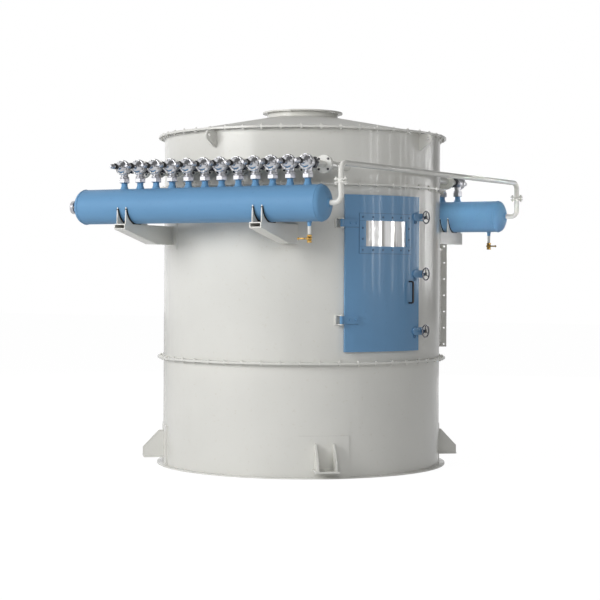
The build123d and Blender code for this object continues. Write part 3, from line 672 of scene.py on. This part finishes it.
def valve_coil():
    """Moulded round coil with ribs, and its plug on top."""
    bm = bmesh.new()
    profile = [(0, COIL_ROOT), (0.0175, COIL_ROOT)]
    for rib in range(COIL_RIB_COUNT):
        z = COIL_ROOT + 0.005 + rib * COIL_RIB_PITCH
        profile += [(0.0200, z), (0.0200, z + 0.004), (0.0183, z + 0.0055), (0.0183, z + 0.0075)]
    lathe(bm, profile + [(0.0175, COIL_END), (0, COIL_END)], valve_place, 24)
    block(bm, (0.016, 0.010, 0.020), valve_place @ Matrix.Translation((0, 0.021, 0.127)), 0.003)
    return bm


def outlet_nut():
    """Coupling nut between the valve and its blow pipe, with lugs round it."""
    bm = bmesh.new()
    sleeve = ((0, 0.060), (0.036, 0.060), (0.040, 0.064), (0.040, 0.094), (0.036, OUTLET_NUT_END),
              (0, OUTLET_NUT_END))
    lathe(bm, sleeve, valve_place @ Matrix.Rotation(math.pi, 4, "X"), 24)
    for lug in range(OUTLET_NUT_LUGS):
        turned = valve_place @ Matrix.Rotation(lug * math.tau / OUTLET_NUT_LUGS, 4, "Z")
        block(bm, (0.012, 0.014, 0.030), turned @ Matrix.Translation((0.040, 0, -0.079)), 0.002, 1)
    return bm


def blow_pipe():
    """Pipe from the coupling nut, a pair of flanges with their gasket, and the nozzle into the wall."""
    bm = bmesh.new()
    place = facing((0, 0, VALVE_HEIGHT), FRONT)

    def disc(radius, low, high, sides):
        lathe(bm, ((0, low), (radius, low), (radius, high), (0, high)), place, sides)

    near_back = BLOW_FLANGE_OFFSET - BLOW_FLANGE_THICKNESS
    far_face = near_back - BLOW_FLANGE_GAP
    far_back = far_face - BLOW_FLANGE_THICKNESS
    disc(0.024, BLOW_FLANGE_OFFSET, TANK_OFFSET - OUTLET_NUT_END + 0.004, 24)
    for low, high in ((near_back, BLOW_FLANGE_OFFSET), (far_back, far_face)):
        flange = ((0, low), (BLOW_FLANGE_RADIUS - 0.002, low), (BLOW_FLANGE_RADIUS, low + 0.0015),
                  (BLOW_FLANGE_RADIUS, high - 0.0015), (BLOW_FLANGE_RADIUS - 0.002, high), (0, high))
        lathe(bm, flange, place, 36)
    disc(0.052, far_face - 0.001, near_back + 0.001, 24)
    disc(0.030, NOZZLE_START, far_back, 28)
    return bm


for side, label in TANK_SIDES.items():
    valves, pipes = f"{label}_pulse_valves", f"{label}_blow_pipes"
    row_of(f"{label}_valve_bodies", valve_body(), cast_alloy, side, valves)
    row_of(f"{label}_valve_covers", valve_cover(), chrome, side, valves)
    row_of(f"{label}_valve_coils", valve_coil(), coil_plastic, side, valves)
    row_of(f"{label}_outlet_nuts", outlet_nut(), dark_steel, side, pipes)
    row_of(f"{label}_blow_pipe_runs", blow_pipe(), fitting_enamel, side, pipes)
    outward = Vector((0, side, 0))
    cover_bolts, flange_bolts = [], []
    for row in range(VALVE_COUNT):
        x = -side * (row - (VALVE_COUNT - 1) / 2) * VALVE_PITCH
        cover = Vector((x, side * (TANK_OFFSET + COVER_FACE), VALVE_HEIGHT))
        flange = Vector((x, side * BLOW_FLANGE_OFFSET, VALVE_HEIGHT))
        cover_bolts += [(p, outward) for p in bolt_circle(cover, COVER_BOLT_CIRCLE, COVER_BOLT_COUNT)]
        flange_bolts += [(p, outward) for p in bolt_circle(flange, BLOW_BOLT_CIRCLE, BLOW_BOLT_COUNT)]
    fasteners(f"{label}_cover_bolts", cover_bolts, zinc_steel, "valve_metal",
              Head_Width=0.0115, Head_Height=0.005, Washer_Width=0.013, Washer_Height=0.001,
              Thread_Width=0.006, Thread_Length=0.002)
    fasteners(f"{label}_blow_flange_bolts", flange_bolts, dark_steel, "valve_metal",
              Head_Width=0.0165, Head_Height=0.0065, Washer_Width=0.018, Washer_Height=0.0015,
              Thread_Width=0.010, Thread_Length=0.004)

# Bolts in the rims between the sections

rim_places = []
for height in RIM_HEIGHTS:
    for step in range(RIM_BOLT_COUNT):
        angle = RIM_BOLT_START + step * 360 / RIM_BOLT_COUNT
        rim_places.append((polar(RIM_BOLT_CIRCLE, angle, height + RIM_HALF), UP))
        rim_places.append((polar(RIM_BOLT_CIRCLE, angle, height - RIM_HALF), -UP))
fasteners("rim_bolts", rim_places, fitting_enamel, "casing_paint", Head_Width=0.0219, Head_Height=0.0075,
          Washer_Width=0.024, Washer_Height=0.002, Thread_Width=0.012, Thread_Length=0.003)

# Air tanks: weld seams, collars under the valves, bosses at the risers, cap bolts

collar = ((0, -0.012), (0.038, -0.012), (0.034, -0.001), (0.029, 0.007), (0.0265, 0.016),
          (STUB_RADIUS, 0.022), (0, 0.022))
boss = ((0, -0.020), (0.040, -0.020), (0.038, 0.001), (0.032, 0.007), (0.027, 0.009), (0, 0.009))
for side, label in TANK_SIDES.items():
    low_end, high_end = TANK_ENDS[side]
    y = side * TANK_OFFSET
    seams, collars = bmesh.new(), bmesh.new()
    for x in (low_end + HEAD_DEPTH, high_end - HEAD_DEPTH):
        bead(seams, ring_points(along_x(x, y, TANK_HEIGHT), TANK_RADIUS), 0.007)
    for row in range(VALVE_COUNT):
        x = (row - (VALVE_COUNT - 1) / 2) * VALVE_PITCH
        lathe(collars, collar, Matrix.Translation((x, y, TANK_HEIGHT + TANK_RADIUS)), 24)
    lathe(collars, boss, along_x(high_end, y, TANK_HEIGHT), 28)
    piece(f"{label}_tank_seams", seams, tank_enamel)
    piece(f"{label}_stub_collars", collars, tank_enamel)
    cap_place = along_x(low_end - CAP_FACE, y, TANK_HEIGHT)
    cap_bolts = [(point, (1, 0, 0)) for point in ring_points(cap_place, CAP_RADIUS - 0.011, 6)]
    fasteners(f"{label}_cap_bolts", cap_bolts, zinc_steel, "valve_metal",
              Head_Width=0.013, Head_Height=0.006, Washer_Width=0.016, Washer_Height=0.0015,
              Thread_Width=0.008, Thread_Length=0.003)

# Rubber edging on the saddles' curved cut-outs, with the tank showing between them

edging = bmesh.new()
for side, places in BRACKET_PLACES.items():
    for x in places:
        for wall in (-1, 1):
            place = along_x(x + wall * SADDLE_GAP / 2, side * TANK_OFFSET, TANK_HEIGHT)
            arc_bar(edging, (TANK_RADIUS, TANK_RADIUS + 0.013), LINER_ANGLES, (-0.0075, 0.0075), place, 4)
piece("saddle_edging", edging, rubber, replaces=("saddle_liners",))

# Unions in the risers: two bolts each, and the weld beads under and over the plates

unions, union_bolts = bmesh.new(), []
for side, x in RISER_PLACES.items():
    y = side * TANK_OFFSET
    for z, way in zip(UNION_FACES, (-UP, UP)):
        bead(unions, ring_points(Matrix.Translation((x, y, z)), PIPE_RADIUS + 0.001, 36), 0.008)
        for reach in (-UNION_BOLT_REACH, UNION_BOLT_REACH):
            union_bolts.append((Vector((x + reach, y, z)), way))
    for reach in (-UNION_BOLT_REACH, UNION_BOLT_REACH):
        tube(unions, ((x + reach, y, UNION_FACES[0]), (x + reach, y, UNION_FACES[1])), 0.006, 10)
piece("union_welds", unions, fitting_enamel)
fasteners("union_bolts", union_bolts, fitting_enamel, "casing_paint", Head_Width=0.0195, Head_Height=0.008,
          Washer_Width=0.024, Washer_Height=0.002, Thread_Width=0.012, Thread_Length=0.006)

# Drains: a blue socket with a collar, a pale nipple, and a brass ball valve with its lever

tank_under = TANK_HEIGHT - TANK_RADIUS
drain_middle = (DRAIN_LOW + DRAIN_HIGH) / 2
nipple_low, nipple_high = DRAIN_HIGH - 0.008, tank_under - 0.033
nipple_profile = ((0, nipple_low), (0.013, nipple_low), (0.013, nipple_high), (0, nipple_high))
socket_profile = ((0, -0.034), (0.0145, -0.034), (0.0150, -0.016), (0.0165, -0.008), (0.020, 0),
                  (0.021, 0.006), (0, 0.006))
ball_housing = ((0, 0.013), (0.014, 0.013), (0.017, 0.019), (0.0195, 0.026), (0.0195, 0.034), (0.017, 0.041),
                (0.014, 0.046), (0, 0.046))
stem_boss = ((0, 0.012), (0.012, 0.012), (0.012, 0.021), (0.010, 0.023), (0.0075, 0.023), (0.0075, 0.0295),
             (0, 0.0295))
lever_hub = ((0, LEVER_STAND), (0.011, LEVER_STAND), (0.011, 0.0345), (0, 0.0345))
lever_end = ((0, 0.0305), (0.008, 0.0305), (0.009, 0.0315), (0.009, 0.0345), (0.008, 0.0355), (0, 0.0355))
pipes, nipples, bodies = bmesh.new(), bmesh.new(), bmesh.new()
for side, x in DRAIN_PLACES.items():
    label, reach, y = TANK_SIDES[side], LEVER_REACH[side], side * TANK_OFFSET
    place = Matrix.Translation((x, y, 0))
    lathe(pipes, socket_profile, Matrix.Translation((x, y, tank_under)), 20)
    lathe(nipples, nipple_profile, place, 20)
    hexagon(bodies, DRAIN_HEXAGON, DRAIN_HIGH - 0.017, DRAIN_HIGH, place)
    hexagon(bodies, DRAIN_HEXAGON, DRAIN_LOW, DRAIN_LOW + 0.015, place)
    lathe(bodies, ball_housing, Matrix.Translation((x, y, DRAIN_LOW)), 24)
    stem = facing((x, y, drain_middle), FRONT)
    lathe(bodies, stem_boss, stem, 20)
    lever = bmesh.new()
    arm_place = Matrix.Translation((x + 0.6 * reach, y - LEVER_STAND - 0.003, drain_middle))
    block(lever, (abs(reach) - 0.012, 0.004, 0.012), arm_place, 0.0018)
    lathe(lever, lever_hub, stem, 20)
    hexagon(lever, 0.015, 0.0335, 0.0358, stem)
    lathe(lever, lever_end, facing((x + reach, y, drain_middle), FRONT), 20)
    piece(f"{label}_lever_arm", lever, brass, f"{label}_lever", (f"{label}_drain_lever",))
piece("drain_pipes", pipes, tank_enamel)
piece("drain_nipples", nipples, fitting_enamel)
piece("drain_valve_bodies", bodies, brass, replaces=("drain_valves",))

# Door: painted shadow lines in dark blue round the window's strips and under the straps, and dark joints
# where the strips meet

strip_angle = math.degrees(WINDOW_STRIP / DOOR_OUTER)
line_angle = math.degrees(PAINTED_SHADOW_WIDTH / DOOR_OUTER)
joints_and_painted_shadow = bmesh.new()
frame_angles = (WINDOW_ANGLES[0] - strip_angle, WINDOW_ANGLES[1] + strip_angle)
frame_heights = (WINDOW_HEIGHTS[0] - WINDOW_STRIP, WINDOW_HEIGHTS[1] + WINDOW_STRIP)
painted_shadow_radii = (DOOR_OUTER - 0.0005, DOOR_OUTER + 0.0025)
# Dark blue lines along the frame's sides, top and bottom: painted shadow, not sealant
for angle, way in zip(frame_angles, (-1, 1)):
    arc_bar(joints_and_painted_shadow, painted_shadow_radii, sorted((angle, angle + way * line_angle)), frame_heights)
for z, way in zip(frame_heights, (-1, 1)):
    arc_bar(joints_and_painted_shadow, painted_shadow_radii, frame_angles, sorted((z, z + way * PAINTED_SHADOW_WIDTH)))
# Dark joints where the side strips meet the top and bottom strips
joint_radii = (STRIP_FACE - 0.0005, STRIP_FACE + 0.0003)
for z in WINDOW_HEIGHTS:
    for start, end in ((frame_angles[0], WINDOW_ANGLES[0]), (WINDOW_ANGLES[1], frame_angles[1])):
        arc_bar(joints_and_painted_shadow, joint_radii, (start, end), (z - 0.001, z + 0.001))
# Dark blue line under each hinge strap: painted shadow
for height in HINGE_HEIGHTS:
    arc_bar(joints_and_painted_shadow, (DOOR_OUTER - 0.0005, DOOR_OUTER + 0.006), (PIN_ANGLE + 1.6, STRAP_END),
            (height - STRAP_HALF - 0.004, height - STRAP_HALF))
piece("door_joints_and_painted_shadow", joints_and_painted_shadow, dark_blue_and_painted_shadow, "door")

# Clamp arms, round at the root and with rounded corners at the end, and the rings that hang from them

ARM_HALF = CLAMP_WIDTH / 2


def clamp_outline(height):
    """Outline of an arm as pairs of angle and height: half a circle, then two corners."""
    root_angle = math.degrees(ARM_HALF / CLAMP_FACE)
    corner_angle = math.degrees(CLAMP_CORNER / CLAMP_FACE)
    arm_end = CLAMP_ANGLE + 1.2
    outline = []
    for i in range(13):
        a = math.radians(90 + 15 * i)
        outline.append((CLAMP_ROOT + root_angle * (1 + math.cos(a)), height + ARM_HALF * math.sin(a)))
    for first_turn, way in ((-90, -1), (0, 1)):
        for i in range(6):
            a = math.radians(first_turn + 18 * i)
            rise = way * (ARM_HALF - CLAMP_CORNER) + CLAMP_CORNER * math.sin(a)
            outline.append((arm_end - corner_angle * (1 - math.cos(a)), height + rise))
    return outline


arms, rings = bmesh.new(), bmesh.new()
ring_angle = CLAMP_ROOT + 1.4
for height in CLAMP_HEIGHTS.values():
    curved_plate(arms, clamp_outline(height), (DOOR_OUTER, CLAMP_FACE))
    spindle = facing(polar(0, 0, height), polar(1, CLAMP_ANGLE))
    hexagon(arms, 0.030, CLAMP_FACE - 0.001, CLAMP_FACE + 0.010, spindle)
    ring_place = facing(polar(STRIP_FACE, ring_angle, height - ARM_HALF - 0.010), polar(1, ring_angle))
    tube(rings, ring_points(ring_place, CLAMP_RING_RADIUS, 24), 0.0028, 8, closed=True)
piece("clamp_arm_plates", arms, door_enamel, "door", ("clamp_arms",))
piece("clamp_rings", rings, dark_blue_and_painted_shadow, "door")

# Hinges: the straps' bolts, and the plates behind the ears

strap_bolts, backs = [], bmesh.new()
for height in HINGE_HEIGHTS:
    for step in STRAP_BOLT_STEPS:
        strap_bolts.append((polar(STRAP_FACE, STRAP_END - step, height), polar(1, STRAP_END - step)))
    arc_bar(backs, (CASING_RADIUS, CASING_RADIUS + 0.026), (PIN_ANGLE - 2.0, PIN_ANGLE - 1.6),
            (height - HINGE_HALF, height + HINGE_HALF))
fasteners("strap_bolts", strap_bolts, door_enamel, "door_paint", "door",
          Head_Width=0.0195, Head_Height=0.007, Washer_Width=0.024, Washer_Height=0.002,
          Thread_Width=0.012, Thread_Length=0.002)
piece("hinge_backs", backs, fitting_enamel)

# Handwheels on the door's clamps, with their heights measured from the wheel's plane

foot = SPINDLE_START - WHEEL_PLANE
spindle_profile = ((0, foot), (0.0075, foot), (0.008, foot + 0.002), (0.008, -0.012), (0.012, -0.010),
                   (0.0145, -0.006), (0.0145, 0.003), (0, 0.003))
cap_profile = ((0, 0.002), (0.016, 0.002), (0.016, 0.0035), (0.013, 0.0048), (0, 0.005))
spoke_run = ((0.010, 0.0), (0.022, -0.001), (0.035, 0.0), (0.0465, 0.0))
spoke_radii = (0.0052, 0.0046, 0.0040, 0.0042)
for level, height in CLAMP_HEIGHTS.items():
    spindle = facing(polar(0, 0, height), polar(1, CLAMP_ANGLE))
    wheel = spindle @ Matrix.Translation((0, 0, WHEEL_PLANE))
    rim, cap = bmesh.new(), bmesh.new()
    tube(rim, ring_points(wheel, WHEEL_RADIUS, 40), 0.0055, 12, closed=True)
    for spoke in range(WHEEL_SPOKES):
        angle = 90 + 360 * spoke / WHEEL_SPOKES
        tube(rim, [wheel @ polar(r, angle, z) for r, z in spoke_run], spoke_radii, 10)
    lathe(rim, spindle_profile, wheel, 20)
    lathe(cap, cap_profile, wheel, 20)
    body = f"wheel_{level}"
    piece(f"handwheel_rim_{level}", rim, wheel_chrome, body, (f"handwheel_{level}",))
    piece(f"handwheel_cap_{level}", cap, black_grip, body)

# Screws in the window's strips

screws = []
strip_mid = math.degrees(WINDOW_STRIP / 2 / DOOR_OUTER)
left, right = WINDOW_ANGLES[0] - strip_mid, WINDOW_ANGLES[1] + strip_mid
low, high = WINDOW_HEIGHTS[0] - WINDOW_STRIP / 2, WINDOW_HEIGHTS[1] + WINDOW_STRIP / 2
for step in range(6):
    angle = left + (right - left) * step / 5
    screws += [(polar(STRIP_FACE, angle, z), polar(1, angle)) for z in (low, high)]
for step in (1, 2):
    z = low + (high - low) * step / 3
    screws += [(polar(STRIP_FACE, angle, z), polar(1, angle)) for angle in (left, right)]
fasteners("window_screws", screws, dark_blue_and_painted_shadow, "door_paint", "door", Head_Width=0.013, Head_Height=0.004,
          Head_Sides=12, Washer_Width=0.017, Washer_Height=0.001, Thread_Width=0.005, Thread_Length=0.0006)

# Stage, lights and camera

FLOOR_REACH = 40.0
FLOOR_GREY = 0.82
FLOOR_GLOW = 1.06
FLOOR_GLOW_SHARE = 0.92
FLOOR_MIRRORED_SHARE = 0.45


def pale_floor():
    """Floor that looks nearly white to the camera and glass, dimmer to mirrors, and takes a faint shadow."""
    finish = Finish("pale_floor", 0.9)
    finish.shader.inputs["Base Color"].default_value = (FLOOR_GREY, FLOOR_GREY, FLOOR_GREY, 1)
    nodes, link = finish.tree.nodes, finish.tree.links.new
    path, glow = nodes.new("ShaderNodeLightPath"), nodes.new("ShaderNodeEmission")
    share = nodes.new("ShaderNodeMixShader")
    glow.inputs["Strength"].default_value = FLOOR_GLOW
    mirrored = maths(nodes, "MULTIPLY", None, FLOOR_MIRRORED_SHARE)
    seen, seen_too = maths(nodes, "MAXIMUM"), maths(nodes, "MAXIMUM")
    weight = maths(nodes, "MULTIPLY", None, FLOOR_GLOW_SHARE)
    link(path.outputs["Is Glossy Ray"], mirrored.inputs[0])
    link(path.outputs["Is Camera Ray"], seen.inputs[0])
    link(mirrored.outputs[0], seen.inputs[1])
    link(seen.outputs[0], seen_too.inputs[0])
    link(path.outputs["Is Transmission Ray"], seen_too.inputs[1])
    link(seen_too.outputs[0], weight.inputs[0])
    link(weight.outputs[0], share.inputs["Fac"])
    link(finish.shader.outputs[0], share.inputs[1])
    link(glow.outputs[0], share.inputs[2])
    link(share.outputs[0], nodes["Material Output"].inputs["Surface"])
    return finish.material


floor_mesh = bpy.data.meshes.new("floor")
floor_corners = [(x * FLOOR_REACH, y * FLOOR_REACH, 0) for x, y in ((-1, -1), (1, -1), (1, 1), (-1, 1))]
floor_mesh.from_pydata(floor_corners, [], [(0, 1, 2, 3)])
floor_mesh.materials.append(pale_floor())
floor = bpy.data.objects.new("floor", floor_mesh)
bpy.context.scene.collection.objects.link(floor)

CAMERA_ANGLE = math.radians(28)
sight = Vector((-math.sin(CAMERA_ANGLE), math.cos(CAMERA_ANGLE), 0))
across = Vector((math.cos(CAMERA_ANGLE), math.sin(CAMERA_ANGLE), 0))

# Strength of the light from all round, and the greys that gloss sees in the room. Those are pairs of
# place and grey, with the places from 0 on the left at the back to 1 on the right in front.
FILL = 0.205
ROOM_GREYS =((0.2, 0.95), (0.42, 0.17), (0.84, 0.17), (0.94, 0.75))


def studio_world():
    """Even fill light: the camera and glass see white, and gloss sees the greys of the room."""
    world = bpy.data.worlds.new("studio")
    world.use_nodes = True
    tree = world.node_tree
    nodes, link = tree.nodes, tree.links.new
    fill = nodes["Background"]
    fill.inputs["Color"].default_value = (1, 1, 1, 1)
    fill.inputs["Strength"].default_value = FILL
    white, room = nodes.new("ShaderNodeBackground"), nodes.new("ShaderNodeBackground")
    white.inputs["Color"].default_value = (1, 1, 1, 1)
    place, facing_room = nodes.new("ShaderNodeTexCoord"), nodes.new("ShaderNodeVectorMath")
    facing_room.operation = "DOT_PRODUCT"
    facing_room.inputs[1].default_value = (across - sight).normalized()
    halved = maths(nodes, "MULTIPLY_ADD", None, 0.5, 0.5)
    tone = nodes.new("ShaderNodeValToRGB")
    while len(tone.color_ramp.elements) < len(ROOM_GREYS):
        tone.color_ramp.elements.new(1.0)
    for element, (position, grey) in zip(tone.color_ramp.elements, ROOM_GREYS):
        element.position = position
        element.color = (grey, grey, grey, 1)
    path = nodes.new("ShaderNodeLightPath")
    seen = maths(nodes, "MAXIMUM")
    with_gloss, with_white = nodes.new("ShaderNodeMixShader"), nodes.new("ShaderNodeMixShader")
    link(place.outputs["Generated"], facing_room.inputs[0])
    link(facing_room.outputs["Value"], halved.inputs[0])
    link(halved.outputs[0], tone.inputs["Fac"])
    link(tone.outputs["Color"], room.inputs["Color"])
    link(path.outputs["Is Glossy Ray"], with_gloss.inputs["Fac"])
    link(fill.outputs[0], with_gloss.inputs[1])
    link(room.outputs[0], with_gloss.inputs[2])
    link(path.outputs["Is Camera Ray"], seen.inputs[0])
    link(path.outputs["Is Transmission Ray"], seen.inputs[1])
    link(seen.outputs[0], with_white.inputs["Fac"])
    link(with_gloss.outputs[0], with_white.inputs[1])
    link(white.outputs[0], with_white.inputs[2])
    link(with_white.outputs[0], nodes["World Output"].inputs["Surface"])
    bpy.context.scene.world = world


studio_world()


def softbox(name, place, target, size, power, lights, spread=180):
    """Area lamp that lights either what is matt, with no reflection of the lamp, or gloss alone."""
    lamp = bpy.data.lights.new(name, "AREA")
    lamp.spread = math.radians(spread)
    lamp.shape = "RECTANGLE"
    lamp.size, lamp.size_y = size
    lamp.energy = power
    obj = bpy.data.objects.new(name, lamp)
    obj.location = place
    obj.rotation_euler = (Vector(target) - Vector(place)).to_track_quat("-Z", "Y").to_euler()
    obj.visible_glossy = lights != "matt"
    obj.visible_diffuse = lights != "gloss"
    bpy.context.scene.collection.objects.link(obj)


def from_camera(right, back, z):
    """Place given by how far right of the axis and how near to the camera it is, as the camera sees it."""
    return across * right - sight * back + Vector((0, 0, z))


softbox("key", from_camera(-12.2, 9.2, 7.0), (0, 0, 1.4), (7.5, 6.5), 1375, "matt")
softbox("key_mirrored", from_camera(-12.2, 9.2, 5.5), (0, 0, 1.8), (7.5, 6.5), 430, "gloss")
softbox("front", from_camera(-1.0, 12.0, 5.0), (0, 0, 1.4), (4.0, 4.0), 250, "matt")
softbox("side", from_camera(9.0, 6.0, 3.5), (0, 0, 1.6), (2.0, 2.0), 22, "matt")
softbox("back", from_camera(2.0, -11.0, 4.0), (0, 0, 1.4), (5.0, 5.0), 420, "matt")
softbox("rear_tank_light", from_camera(2.2, 9.0, 3.0), (1.0, TANK_OFFSET, 2.09), (0.25, 0.25), 0.95, "matt",
        spread=6)

# Narrow upright lamps on the right, mirrored as streaks in the door and the casing beside it. Each is
# its turn to the right of the camera in degrees, and its power.
STRIPS = ((45, 2), (52, 5), (57.5, 5), (69, 4), (80, 4), (86, 4), (92, 3), (95, 5), (100, 3), (104, 6),
          (109, 3), (114, 6), (117, 4), (120, 5), (123, 3), (127, 2))
STRIP_DISTANCE = 6.2
STRIP_HEIGHT = 2.3
STRIP_SIZE = (0.09, 1.8)
for strip, (turn, power) in enumerate(STRIPS):
    a = math.radians(turn)
    place = from_camera(STRIP_DISTANCE * math.sin(a), STRIP_DISTANCE * math.cos(a), STRIP_HEIGHT)
    softbox(f"strip_{strip}", place, (0, 0, STRIP_HEIGHT), STRIP_SIZE, power, "gloss")

CAMERA_DISTANCE = 13.20
CAMERA_HEIGHT = 1.542
camera_data = bpy.data.cameras.new("camera")
camera_data.sensor_width = 36.0
camera_data.lens = 94.46
camera_data.shift_x = -0.003
camera_data.shift_y = -0.038
camera = bpy.data.objects.new("camera", camera_data)
roll = Matrix.Rotation(math.radians(0.31), 4, "Z")
level_view = sight.to_track_quat("-Z", "Y").to_matrix().to_4x4()
camera.matrix_world = Matrix.Translation(-sight * CAMERA_DISTANCE + UP * CAMERA_HEIGHT) @ level_view @ roll
bpy.context.scene.collection.objects.link(camera)
bpy.context.scene.camera = camera
bpy.context.scene.view_settings.view_transform = "Standard"
